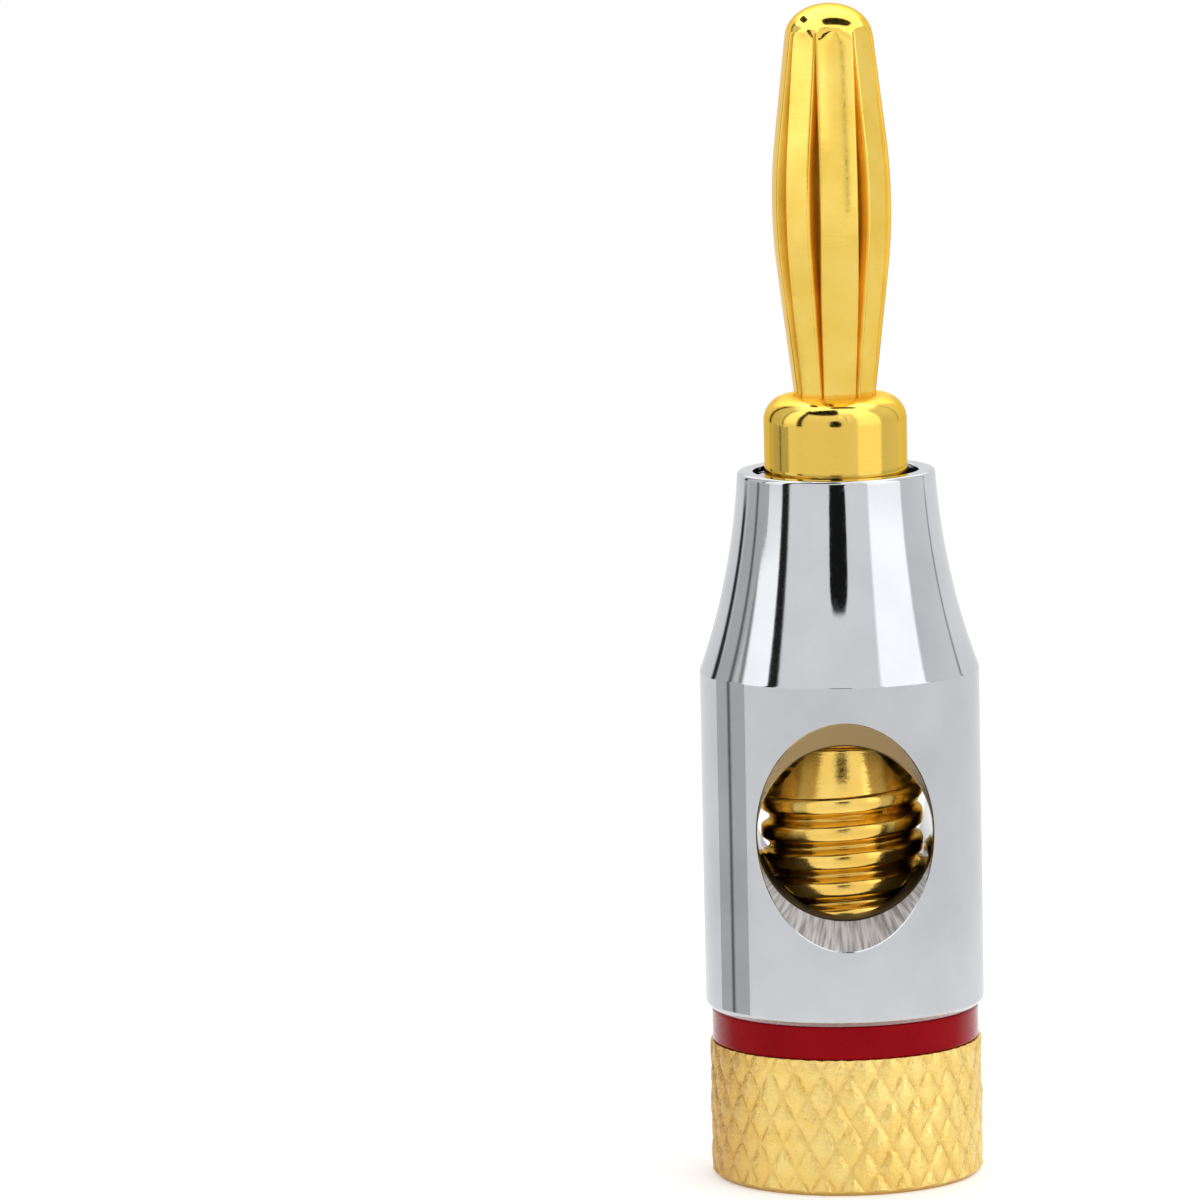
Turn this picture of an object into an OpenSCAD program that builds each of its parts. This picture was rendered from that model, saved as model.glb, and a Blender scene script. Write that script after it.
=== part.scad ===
// Open-screw banana plug: leaf-spring pin, tapped barrel with a side wire hole, and a
// knurled clamp screw that is drilled through for the cable.
// The axis of the plug is Z. It stands on the knurled end, and the wire hole faces -Y and +Y.

/* [Clamp screw] */
// Diameter of the knurled head over its diamonds
head_d = 9.8; // [9:0.1:12]
// Height of the knurled head
head_h = 4.9; // [3.5:0.1:8]
// Diamonds round the head
knurl_count = 30; // [20:1:44]
// Lead of the knurl lines away from the axis, in degrees
knurl_angle = 30; // [20:1:45]
// Depth of the knurl
knurl_depth = 0.14; // [0.1:0.01:0.35]
// Radial size of the edge break at the head's rear face
head_chamfer = 0.24; // [0.1:0.01:0.5]
// Radial size of the edge break at the head's front face
head_front_chamfer = 0.06; // [0.02:0.01:0.2]
// Outer diameter of the screw thread
thread_d = 5.8; // [5:0.1:6.4]
// Length of the stem, from the head to its tip
stem_l = 10.8; // [8:0.1:14]
// Length of the smooth nose at the tip of the stem
nose_l = 1.84; // [1:0.02:3]
// Diameter of the smooth nose where the thread ends
nose_d = 5.56; // [4.8:0.02:5.6]
// Diameter of the face at the very tip
tip_d = 4.8; // [4.2:0.1:4.8]
// Bow of the rounded nose
nose_bow = 0.08; // [0.05:0.01:0.3]
// Bore through the screw for the cable
cable_d = 3.8; // [2.5:0.1:4]
// Diameter of the lead-in at the rear mouth of the cable bore
mouth_d = 5.2; // [4.4:0.1:7]

/* [Colour ring] */
// Outer diameter of the colour ring
ring_d = 9.55; // [8:0.05:11]
// Thickness of the colour ring
ring_h = 1.2; // [0.8:0.1:2.5]
// Radial room between the ring and the thread
ring_clear = 0.06; // [0.03:0.01:0.1]
// Edge break of the ring
ring_chamfer = 0.1; // [0.05:0.01:0.3]

/* [Barrel] */
// Diameter of the barrel
barrel_d = 10; // [9.4:0.1:13]
// Length of the straight part of the barrel
barrel_l = 12.15; // [11:0.01:16]
// Height of the concave flare, from the barrel's edge to the rim
flare_h = 7.14; // [5:0.02:10]
// Hollow of the flare's arc, measured from its chord
flare_bow = 0.27; // [0.1:0.01:0.5]
// Outer diameter of the rim
rim_d = 7.05; // [6.8:0.05:8]
// Rounding of the rim's outer edge
rim_round = 0.14; // [0.05:0.01:0.2]
// Edge break at the barrel's rear face
tail_chamfer = 0.22; // [0.1:0.01:0.5]
// Lead-in at the rear mouth of the tapped bore
bore_lead = 0.3; // [0.1:0.01:0.5]
// Radial running room of the screw thread in the barrel
thread_clear = 0.05; // [0.02:0.01:0.1]

/* [Wire hole] */
// Diameter of the hole through the barrel's sides
wire_hole_d = 6.2; // [4.5:0.1:7]
// Height of the hole's axis above the barrel's rear face
wire_hole_rise = 6.8; // [5.6:0.1:7.2]
// Diameter of the countersink where it leaves the barrel's crown
sink_d = 8.2; // [7.2:0.1:8.8]
// Included angle of the countersink
sink_angle = 80; // [60:1:120]

/* [Contact] */
// Gap between the tip of the tightened screw and the wire seat
seat_gap = 0.5; // [0.2:0.05:2]
// Length of the plug that is screwed into the barrel
plug_l = 6.7; // [4:0.1:7.5]
// Radial room of the plug in the barrel's bore
plug_fit = 0.02; // [0.01:0.01:0.05]
// Diameter of the collar that the leaf cage stands in
collar_d = 5.1; // [4.2:0.1:5.4]
// Height of the collar above the barrel's rim
collar_h = 2.7; // [1.5:0.1:5]
// Rounding of the collar's front edge
collar_round = 0.9; // [0.2:0.01:1]
// Depth of the socket for the leaf cage
socket_l = 3; // [2:0.1:4.5]
// Radial room of the cage's root in its socket
socket_fit = 0.01; // [0.01:0.01:0.03]
// Depth of the dished ring round the cage's root, inside the rounding
dish_depth = 0.12; // [0.1:0.01:0.6]
// Least width of the dished ring
dish_land = 0.1; // [0.05:0.01:0.2]

/* [Leaf cage] */
// Length of the pin in front of the collar
pin_l = 13.9; // [12:0.05:20]
// Diameter of the cage's root
root_d = 2.9; // [2.5:0.02:3.1]
// Diameter over the bulge of the leaves
bulge_d = 4.22; // [4:0.02:4.6]
// Height of the bulge above the collar
bulge_rise = 6.8; // [5.5:0.05:8]
// Bend radius of the leaves at the bulge
bulge_bend = 20; // [12:1:30]
// Diameter of the closed nose
cage_nose_d = 3.12; // [2.9:0.02:3.4]
// Height of the closed nose
cage_nose_h = 1.2; // [0.8:0.05:1.5]
// Wall of the drawn cage
leaf_wall = 0.4; // [0.25:0.01:0.5]
// Pairs of one wide and one narrow leaf
leaf_pairs = 4; // [3:1:5]
// Width of a wide leaf compared with a narrow one
leaf_ratio = 1.32; // [1:0.01:1.6]
// Width of the slots where the leaves nearly meet
slot_kerf = 0.08; // [0.04:0.01:0.15]
// How far the slots run down into the collar
slot_sink = 0.6; // [0.2:0.1:1.5]
// Turn of the first wide leaf from the wire hole's side, in degrees
leaf_turn = 6.5; // [-45:0.5:45]

/* [Hidden] */
$fn = 96;
gold = [0.83, 0.66, 0.30];
satin_gold = [0.80, 0.58, 0.25];
chrome = [0.80, 0.81, 0.83];
ring_red = [0.56, 0.05, 0.08];

// Length that cutters run past the faces they cut
overrun = 1;
// Steps along each arc of a profile
arc_steps = 16;

// Radii
head_r = head_d / 2;
thread_r = thread_d / 2;
barrel_r = barrel_d / 2;
rim_r = rim_d / 2;
bore_r = thread_r + thread_clear;
collar_r = collar_d / 2;
root_r = root_d / 2;
bulge_r = bulge_d / 2;
cage_nose_r = cage_nose_d / 2;
cable_r = cable_d / 2;
mouth_r = mouth_d / 2;
wire_hole_r = wire_hole_d / 2;
sink_r = sink_d / 2;

// Heights above the face that the plug stands on
ring_z = head_h;
barrel_z = ring_z + ring_h;
edge_z = barrel_z + barrel_l;
rim_z = edge_z + flare_h;
tip_z = head_h + stem_l;
nose_z = tip_z - nose_l;
wire_hole_z = barrel_z + wire_hole_rise;
seat_z = tip_z + seat_gap;
shoulder_z = seat_z + plug_l;
collar_z = rim_z + collar_h;
socket_z = collar_z - socket_l;
bulge_z = collar_z + bulge_rise;
top_z = collar_z + pin_l;
cage_nose_z = top_z - cage_nose_h;
slot_low_z = collar_z - slot_sink;

// Knurl grid: four columns and four rows to each diamond
knurl_cells = 4;
knurl_pitch = PI * head_d / knurl_count;
knurl_rise = knurl_pitch / tan(knurl_angle);
knurl_cols = knurl_cells * knurl_count;
knurl_rows = max(knurl_cells, round(knurl_cells * head_h / knurl_rise));

// Points on a circle or ellipse about a centre, from one angle to another
function turn(centre, rx, ry, a0, a1) =
    [for (k = [0:arc_steps])
        let (a = a0 + (a1 - a0) * k / arc_steps)
        centre + [rx * cos(a), ry * sin(a)]];

// Points on the circular arc from p to q that stands off its chord by bow, to the left of p to q
function bowed(p, q, bow) =
    let (
        chord = norm(q - p),
        radius = (chord * chord / 4 + bow * bow) / (2 * bow),
        half = asin(chord / (2 * radius)),
        along = (q - p) / chord,
        across = [-along[1], along[0]],
        centre = (p + q) / 2 + across * (bow - radius)
    )
    [for (k = [0:arc_steps])
        let (a = half * (2 * k / arc_steps - 1))
        centre + radius * (along * sin(a) + across * cos(a))];

// Knurl: 0 on a groove line and 1 on the crest between two of them
function crest(u) = 2 * abs(u - round(u));
function diamond_r(col, row) =
    let (
        lift = min(crest((col + row) / knurl_cells), crest((col - row) / knurl_cells)),
        r = head_r - knurl_depth * (1 - lift)
    )
    row == 0 ? min(r, head_r - head_chamfer) :
    row == knurl_rows ? min(r, head_r - head_front_chamfer) : r;
function knurl_index(col, row) = row * knurl_cols + col % knurl_cols;

// Two triangles of one knurl cell, folded along the groove or crest that crosses it
function knurl_cell(col, row) =
    let (
        a = knurl_index(col, row),
        b = knurl_index(col + 1, row),
        c = knurl_index(col + 1, row + 1),
        d = knurl_index(col, row + 1)
    )
    (col + row) % 2 == 0 ? [[a, d, c], [a, c, b]] : [[a, d, b], [d, c, b]];

module knurled_head() {
    points = [
        for (row = [0:knurl_rows], col = [0:knurl_cols - 1])
            let (r = diamond_r(col, row), a = 360 * col / knurl_cols)
            [r * cos(a), r * sin(a), head_h * row / knurl_rows]
    ];
    sides = [
        for (row = [0:knurl_rows - 1], col = [0:knurl_cols - 1])
            each knurl_cell(col, row)
    ];
    rear = [for (col = [0:knurl_cols - 1]) knurl_index(col, 0)];
    front = [for (col = [knurl_cols - 1:-1:0]) knurl_index(col, knurl_rows)];
    polyhedron(points, concat(sides, [rear, front]));
}

// Threaded stem with its smooth rounded nose, rooted inside the head
module stem() {
    step = thread_r - nose_d / 2;
    rotate_extrude()
        polygon(concat(
            [[0, head_h / 2], [thread_r, head_h / 2], [thread_r, nose_z - step]],
            bowed([nose_d / 2, nose_z], [tip_d / 2, tip_z], -nose_bow),
            [[0, tip_z]]
        ));
}

// Bore for the cable, with its conical lead-in at the rear
module cable_bore() {
    lead = mouth_r - cable_r;
    rotate_extrude()
        polygon([
            [0, -overrun],
            [mouth_r + overrun, -overrun],
            [cable_r, lead],
            [cable_r, tip_z + overrun],
            [0, tip_z + overrun]
        ]);
}

module clamp_screw() {
    color(satin_gold)
        difference() {
            union() {
                knurled_head();
                stem();
            }
            cable_bore();
        }
}

module colour_ring() {
    inner_r = thread_r + ring_clear;
    outer_r = ring_d / 2;
    color(ring_red)
        translate([0, 0, ring_z])
            rotate_extrude()
                polygon([
                    [inner_r, 0],
                    [outer_r - ring_chamfer, 0],
                    [outer_r, ring_chamfer],
                    [outer_r, ring_h - ring_chamfer],
                    [outer_r - ring_chamfer, ring_h],
                    [inner_r, ring_h]
                ]);
}

// Hole through both sides of the barrel, countersunk where it leaves each crown
module wire_hole() {
    sink_depth = (sink_r - wire_hole_r) / tan(sink_angle / 2);
    spread = overrun * tan(sink_angle / 2);
    translate([0, 0, wire_hole_z])
        for (side = [90, -90])
            rotate([side, 0, 0])
                rotate_extrude()
                    polygon([
                        [0, 0],
                        [wire_hole_r, 0],
                        [wire_hole_r, barrel_r - sink_depth],
                        [sink_r + spread, barrel_r + overrun],
                        [0, barrel_r + overrun]
                    ]);
}

module barrel() {
    color(chrome)
        difference() {
            rotate_extrude()
                polygon(concat(
                    [
                        [bore_r, barrel_z + bore_lead],
                        [bore_r + bore_lead, barrel_z],
                        [barrel_r - tail_chamfer, barrel_z],
                        [barrel_r, barrel_z + tail_chamfer]
                    ],
                    bowed([barrel_r, edge_z], [rim_r, rim_z - rim_round], flare_bow),
                    turn([rim_r - rim_round, rim_z - rim_round], rim_round, rim_round, 0, 90),
                    [[bore_r, rim_z]]
                ));
            wire_hole();
        }
}

// Plug with the wire seat at its rear, and the collar that holds the leaf cage
module contact_body() {
    plug_r = bore_r - plug_fit;
    socket_r = root_r + socket_fit;
    edge_round = min(collar_round, collar_r - socket_r - dish_land);
    color(gold)
        rotate_extrude()
            polygon(concat(
                [
                    [0, seat_z],
                    [plug_r, seat_z],
                    [plug_r, shoulder_z],
                    [collar_r, shoulder_z]
                ],
                turn([collar_r - edge_round, collar_z - edge_round],
                    edge_round, edge_round, 0, 90),
                [
                    [socket_r, collar_z - dish_depth],
                    [socket_r, socket_z],
                    [0, socket_z]
                ]
            ));
}

// Outer radius of the leaves: straight runs that meet the bulge's bend as tangents
bend_centre = [bulge_r - bulge_bend, bulge_z];
function tangent_angle(p, side) =
    let (v = p - bend_centre)
    atan2(v[1], v[0]) + side * acos(bulge_bend / norm(v));
low_angle = tangent_angle([root_r, collar_z], 1);
high_angle = tangent_angle([cage_nose_r, cage_nose_z], -1);
low_bend = bend_centre + bulge_bend * [cos(low_angle), sin(low_angle)];
high_bend = bend_centre + bulge_bend * [cos(high_angle), sin(high_angle)];
function run_r(p, q, z) = p[0] + (q[0] - p[0]) * (z - p[1]) / (q[1] - p[1]);
function leaf_r(z) =
    z < collar_z ? root_r :
    z < low_bend[1] ? run_r([root_r, collar_z], low_bend, z) :
    z < high_bend[1] ? bend_centre[0] + sqrt(pow(bulge_bend, 2) - pow(z - bulge_z, 2)) :
    run_r(high_bend, [cage_nose_r, cage_nose_z], z);

// Outline of the cage from its root to its nose, set in from the outside by a wall
function cage_side(inset) = concat(
    [[root_r - inset, socket_z], [root_r - inset, collar_z]],
    [for (p = turn(bend_centre, bulge_bend, bulge_bend, low_angle, high_angle)) p - [inset, 0]],
    turn([0, cage_nose_z], cage_nose_r - inset, cage_nose_h - inset, 0, 90)
);

module cage_shell() {
    inside = cage_side(leaf_wall);
    rotate_extrude()
        polygon(concat(
            cage_side(0),
            [for (k = [len(inside) - 1:-1:0]) inside[k]]
        ));
}

// One slot: as wide as the gap that opens between two leaves of constant width
leaf_count = 2 * leaf_pairs;
meet_r = root_r + slot_kerf / 2;
slot_steps = 24;
function slot_half(z) = slot_kerf / 2 + max(0, leaf_r(z) - meet_r) * tan(180 / leaf_count);
module leaf_slot() {
    heights = [for (k = [0:slot_steps]) slot_low_z + (cage_nose_z - slot_low_z) * k / slot_steps];
    rotate([90, 0, 0])
        linear_extrude(bulge_r + overrun)
            polygon(concat(
                [for (z = heights) [slot_half(z), z]],
                [for (k = [slot_steps:-1:0]) [-slot_half(heights[k]), heights[k]]]
            ));
}

module spring_cage() {
    pair_angle = 360 / leaf_pairs;
    wide_half = pair_angle / 2 * leaf_ratio / (leaf_ratio + 1);
    color(gold)
        rotate([0, 0, leaf_turn])
            difference() {
                cage_shell();
                for (pair = [0:leaf_pairs - 1], side = [-1, 1])
                    rotate([0, 0, pair * pair_angle + side * wide_half])
                        leaf_slot();
            }
}

clamp_screw();
colour_ring();
barrel();
contact_body();
spring_cage();
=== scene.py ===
import math

import bmesh
import bpy
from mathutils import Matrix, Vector


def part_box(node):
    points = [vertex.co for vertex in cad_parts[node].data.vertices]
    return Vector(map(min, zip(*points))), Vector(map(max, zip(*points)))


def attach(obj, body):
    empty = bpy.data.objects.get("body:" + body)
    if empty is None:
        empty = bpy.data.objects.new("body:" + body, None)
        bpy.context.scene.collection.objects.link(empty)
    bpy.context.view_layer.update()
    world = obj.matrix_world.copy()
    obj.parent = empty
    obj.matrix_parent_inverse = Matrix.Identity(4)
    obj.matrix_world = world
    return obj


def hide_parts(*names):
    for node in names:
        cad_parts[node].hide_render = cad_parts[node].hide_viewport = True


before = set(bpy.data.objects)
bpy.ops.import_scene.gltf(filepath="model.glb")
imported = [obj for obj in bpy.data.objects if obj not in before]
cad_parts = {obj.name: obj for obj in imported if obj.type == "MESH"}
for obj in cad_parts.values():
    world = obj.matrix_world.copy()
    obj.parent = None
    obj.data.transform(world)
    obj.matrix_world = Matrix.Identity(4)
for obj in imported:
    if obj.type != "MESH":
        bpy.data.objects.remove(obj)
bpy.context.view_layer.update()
bpy.ops.object.select_all(action="DESELECT")

# Pieces are modelled in millimetres and brought to metres when they are finished.
MM = 0.001


def box_mm(node):
    """Lowest and highest corner of a solid, in millimetres."""
    low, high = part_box(node)
    return [value / MM for value in low], [value / MM for value in high]


screw_high = box_mm("clamp_screw")[1]
ring_low, ring_high = box_mm("colour_ring")
barrel_low, barrel_high = box_mm("barrel")
contact_low, contact_high = box_mm("contact_body")
cage_low, cage_high = box_mm("spring_cage")

# Knurled head of the clamp screw
HEAD_R = screw_high[0]
HEAD_TOP = ring_low[2]
HEAD_CHAMFER = 0.24
HEAD_FRONT_CHAMFER = 0.06
KNURL_COUNT = 30
KNURL_ANGLE = math.radians(30)
KNURL_HALF_W = HEAD_R * math.tan(math.pi / KNURL_COUNT)
KNURL_HALF_H = HEAD_R * math.pi / KNURL_COUNT / math.tan(KNURL_ANGLE)
KNURL_CELLS = 6
KNURL_DROPS = (0.1, 0.03, 0.005, 0.0)
KNURL_WANDER = 0.02
KNURL_DENTS = 0.07
KNURL_DENT_SIZE = 0.7
HEAD_STEPS = 240
CABLE_R = 1.9
MOUTH_R = 2.6

# Threaded stem of the clamp screw
THREAD_R = 2.9
THREAD_ROOT_R = 2.6
THREAD_PITCH = 1.0
THREAD_TURNS = 12
THREAD_STEPS = 96
THREAD_START = 3.45
THREAD_END = 14.0
THREAD_END_TILT = math.radians(3.6)
NOSE_Z = 13.86
NOSE_R = 2.78
NOSE_BOW = 0.08
NOSE_STEPS = 192
TIP_ROWS = 12
DRILL_STEPS = 128
TIP_Z = screw_high[2]
TIP_R = 2.4

# Colour ring
RING_R = ring_high[0]
RING_BORE_R = 2.96
RING_ROUND = 0.1
RING_STEPS = 256

# Barrel with its concave flare and the countersunk wire hole, a hair inside its solid
BARREL_INSET = 0.001
BARREL_R = -barrel_low[0] - BARREL_INSET
BARREL_Z = barrel_low[2]
EDGE_Z = 18.25
EDGE_ROUND = 0.1
RIM_Z = barrel_high[2]
RIM_R = 3.525
RIM_ROUND = 0.14
FLARE_BOW = 0.27
BORE_R = 2.95
BORE_LEAD = 0.3
TAIL_CHAMFER = 0.22
BARREL_STEPS = 512
SIDE_ROWS = 60
FLARE_ROWS = 40
BORE_ROWS = 24
HOLE_Z = 12.9
HOLE_R = 3.1
SINK_R = 4.1
SINK_HALF = math.radians(40)
HOLE_STEPS = 256

# Contact body with its collar
SEAT_Z = contact_low[2]
PLUG_R = 2.93
SHOULDER_Z = 22.9
COLLAR_R = 2.55
COLLAR_Z = contact_high[2]
COLLAR_ROUND = 0.9
DISH_DEPTH = 0.05
LIP_R = 1.34
SOCKET_R = 1.46
SOCKET_Z = cage_low[2]
CONTACT_STEPS = 256

# Leaf spring cage
ROOT_R = 1.45
SLOT_LOW_Z = COLLAR_Z - 0.6
BULGE_R = 2.11
BULGE_Z = COLLAR_Z + 6.8
BULGE_BEND = 20.0
CAGE_NOSE_R = 1.56
CAGE_NOSE_H = 1.2
CAGE_NOSE_Z = cage_high[2] - CAGE_NOSE_H
LEAF_WALL = 0.4
LEAF_PAIRS = 4
LEAF_RATIO = 1.32
LEAF_TURN = math.radians(6.5)
LEAF_EDGE = 0.11
LEAF_FLATNESS = 0.12
LEAF_SETBACK = 0.05
LEAF_WIDEST = 1.09
LEAF_WIDEST_Z = 32.5
LEAF_ROUNDS_OVER = 0.2
LEAF_CLEAR = 0.02
SLOT_KERF = 0.08
SLOT_HIGH_Z = cage_high[2] - 0.9
PAIR_ANGLE = 2 * math.pi / LEAF_PAIRS
WIDE_HALF = PAIR_ANGLE / 2 * LEAF_RATIO / (LEAF_RATIO + 1)
NARROW_HALF = PAIR_ANGLE / 2 - WIDE_HALF
LEAF_ROWS = 60
DOME_ROWS = 12
WIDE_COLUMNS = 16
NARROW_COLUMNS = 12


def only(obj):
    """Make one object the active and only selected one."""
    bpy.ops.object.select_all(action="DESELECT")
    obj.select_set(True)
    bpy.context.view_layer.objects.active = obj


def edit(obj):
    """Open one object in edit mode with all of it selected."""
    only(obj)
    bpy.ops.object.mode_set(mode="EDIT")
    bpy.ops.mesh.select_mode(type="VERT")
    bpy.ops.mesh.select_all(action="SELECT")


def leave():
    bpy.ops.object.mode_set(mode="OBJECT")


def select_where(obj, test):
    """Select the vertices whose place passes a test, in edit mode."""
    bpy.ops.mesh.select_all(action="DESELECT")
    mesh = bmesh.from_edit_mesh(obj.data)
    for vert in mesh.verts:
        vert.select = test(vert.co)
    mesh.select_flush(True)
    bmesh.update_edit_mesh(obj.data)


def turn_selected(angle):
    """Turn what is selected about the plug's axis, anticlockwise from above."""
    bpy.ops.transform.rotate(value=-angle, orient_axis="Z", center_override=(0, 0, 0))


def scale_round_axis(factor):
    bpy.ops.transform.resize(value=(factor, factor, 1), center_override=(0, 0, 0))


def start_chain(name, point):
    """Start a piece as a single point and stay in edit mode."""
    bpy.ops.object.select_all(action="DESELECT")
    bpy.ops.mesh.primitive_plane_add(size=1)
    obj = bpy.context.object
    obj.name = name
    obj.data.name = name
    edit(obj)
    bpy.ops.mesh.merge(type="CENTER")
    bpy.ops.mesh.select_all(action="SELECT")
    bpy.ops.transform.translate(value=point)
    return obj


def extrude_by(step):
    bpy.ops.mesh.extrude_region_move(TRANSFORM_OT_translate={"value": step})


def draw_chain(name, points):
    """Draw a line of (radius, height) points in the plane of the axis."""
    first = points[0]
    obj = start_chain(name, (first[0], 0, first[1]))
    for near, far in zip(points, points[1:]):
        extrude_by((far[0] - near[0], 0, far[1] - near[1]))
    return obj


def weld(distance=0.0005):
    bpy.ops.mesh.select_all(action="SELECT")
    bpy.ops.mesh.remove_doubles(threshold=distance)
    bpy.ops.mesh.select_all(action="SELECT")
    bpy.ops.mesh.normals_make_consistent(inside=False)


def lathe(name, points, steps):
    """Turn a line of (radius, height) points once round the axis."""
    obj = draw_chain(name, points)
    bpy.ops.mesh.select_all(action="SELECT")
    bpy.ops.mesh.spin(steps=steps, angle=2 * math.pi, center=(0, 0, 0), axis=(0, 0, 1))
    weld()
    leave()
    return obj


def corner_arc(back, here, ahead, radius, steps):
    """Round one corner, with a point held close to each end of the rounding."""
    to_back = (back - here).normalized()
    to_ahead = (ahead - here).normalized()
    bend = math.pi - to_back.angle(to_ahead)
    reach = radius * math.tan(bend / 2)
    hold = min(0.3 * radius, 0.05)
    middle = (to_back + to_ahead).normalized()
    centre = here + middle * radius / math.cos(bend / 2)
    side = 1 if to_back.x * to_ahead.y - to_back.y * to_ahead.x < 0 else -1
    spoke = here + to_back * reach - centre
    arc = [here + to_back * (reach + hold)]
    for step in range(steps + 1):
        angle = side * bend * step / steps
        across = Vector((-spoke.y, spoke.x))
        arc.append(centre + spoke * math.cos(angle) + across * math.sin(angle))
    arc.append(here + to_ahead * (reach + hold))
    return arc


def rounded(corners, closed, steps=5):
    """Points of an outline given as (radius, height, rounding) corners."""
    places = [Vector(corner[:2]) for corner in corners]
    count = len(places)
    points = []
    for index, corner in enumerate(corners):
        inside = closed or 0 < index < count - 1
        if corner[2] > 0 and inside:
            back = places[index - 1]
            ahead = places[(index + 1) % count]
            points.extend(corner_arc(back, places[index], ahead, corner[2], steps))
        else:
            points.append(places[index])
    if closed:
        points.append(points[0])
    return points


def bowed(start, end, bow, steps):
    """Points of a shallow arc between two points, without the points themselves."""
    start = Vector(start)
    end = Vector(end)
    chord = (end - start).length
    radius = (chord * chord / 4 + bow * bow) / (2 * bow)
    half = math.asin(chord / (2 * radius))
    along = (end - start) / chord
    across = Vector((-along.y, along.x))
    centre = (start + end) / 2 + across * (bow - radius)
    arc = []
    for step in range(1, steps):
        angle = half * (2 * step / steps - 1)
        arc.append(centre + along * radius * math.sin(angle) + across * radius * math.cos(angle))
    return arc


def levels(low, high, count):
    """Evenly spaced values between two, without the two themselves."""
    return [low + (high - low) * step / count for step in range(1, count)]


def use_modifier(obj, kind, **values):
    """Add a modifier to a piece, set it up and apply it."""
    only(obj)
    bpy.ops.object.modifier_add(type=kind)
    made = obj.modifiers[-1]
    for key, value in values.items():
        setattr(made, key, value)
    bpy.ops.object.modifier_apply(modifier=made.name)


# Edges shorter than this, in millimetres, are left over from a cut
SLIVER = 0.0005


def combine(obj, other, operation):
    """Join, cut or trim a piece by another closed shape, which is then removed."""
    use_modifier(obj, "BOOLEAN", operation=operation, solver="EXACT", object=other)
    edit(obj)
    bpy.ops.mesh.dissolve_degenerate(threshold=SLIVER)
    leave()
    spare = other.data
    bpy.data.objects.remove(other)
    bpy.data.meshes.remove(spare)


# Faces that meet at a smaller angle than this are shaded as one
SMOOTH_BELOW = math.radians(30)


def finish_piece(obj, body, node, material):
    """Bring a piece to metres, dress it and let it ride on its body."""
    edit(obj)
    bpy.ops.transform.resize(value=(MM, MM, MM), center_override=(0, 0, 0))
    leave()
    bpy.ops.object.shade_smooth_by_angle(angle=SMOOTH_BELOW)
    if not obj.data.materials:
        obj.data.materials.append(material)
    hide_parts(node)
    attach(obj, body)
    obj.select_set(False)


# Camera, looking down a little as in the photograph
CAMERA_PLACE = (-8.49, -312.0, 65.1)
CAMERA_PITCH = math.radians(8.07)
CAMERA_ROLL = math.radians(-1.2)
CAMERA_LENS = 265.2
CAMERA_SENSOR = 36


def make_camera():
    camera_data = bpy.data.cameras.new("camera")
    camera = bpy.data.objects.new("camera", camera_data)
    bpy.context.scene.collection.objects.link(camera)
    camera.location = [value * MM for value in CAMERA_PLACE]
    camera.rotation_mode = "ZYX"
    camera.rotation_euler = (math.pi / 2 - CAMERA_PITCH, 0, CAMERA_ROLL)
    camera_data.sensor_width = CAMERA_SENSOR
    camera_data.lens = CAMERA_LENS
    camera_data.clip_start = 0.01
    camera_data.clip_end = 20
    bpy.context.scene.camera = camera


# Shader helpers


def even_grey(level):
    return (level, level, level, 1)


def add_node(tree, kind, **values):
    made = tree.nodes.new(kind)
    for key, value in values.items():
        setattr(made, key, value)
    return made


def feed(tree, socket, value):
    """Set a socket to a number or colour, or link another socket to it."""
    if isinstance(value, bpy.types.NodeSocket):
        tree.links.new(value, socket)
    else:
        socket.default_value = value


def calc(tree, operation, *values):
    made = add_node(tree, "ShaderNodeMath", operation=operation)
    for socket, value in zip(made.inputs, values):
        feed(tree, socket, value)
    return made.outputs[0]


def spread(tree, value, low, high, to_low, to_high, smooth=False):
    """Map a value from one range to another and hold it there."""
    made = add_node(tree, "ShaderNodeMapRange")
    if smooth:
        made.interpolation_type = "SMOOTHSTEP"
    feed(tree, made.inputs["Value"], value)
    made.inputs["From Min"].default_value = low
    made.inputs["From Max"].default_value = high
    made.inputs["To Min"].default_value = to_low
    made.inputs["To Max"].default_value = to_high
    return made.outputs["Result"]


def blend_colours(tree, factor, first, second):
    made = add_node(tree, "ShaderNodeMix", data_type="RGBA")
    feed(tree, made.inputs["Factor"], factor)
    feed(tree, made.inputs[6], first)
    feed(tree, made.inputs[7], second)
    return made.outputs[2]


def place_mm(tree):
    """Object coordinates in millimetres."""
    coordinates = add_node(tree, "ShaderNodeTexCoord")
    scaled = add_node(tree, "ShaderNodeVectorMath", operation="SCALE")
    tree.links.new(coordinates.outputs["Object"], scaled.inputs[0])
    scaled.inputs["Scale"].default_value = 1 / MM
    return scaled.outputs["Vector"]


def place_parts(tree):
    """The three coordinates in millimetres and the distance from the axis."""
    split = add_node(tree, "ShaderNodeSeparateXYZ")
    tree.links.new(place_mm(tree), split.inputs[0])
    x, y, z = split.outputs[0], split.outputs[1], split.outputs[2]
    square = calc(tree, "ADD", calc(tree, "MULTIPLY", x, x), calc(tree, "MULTIPLY", y, y))
    return x, y, z, calc(tree, "SQRT", square)


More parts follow.
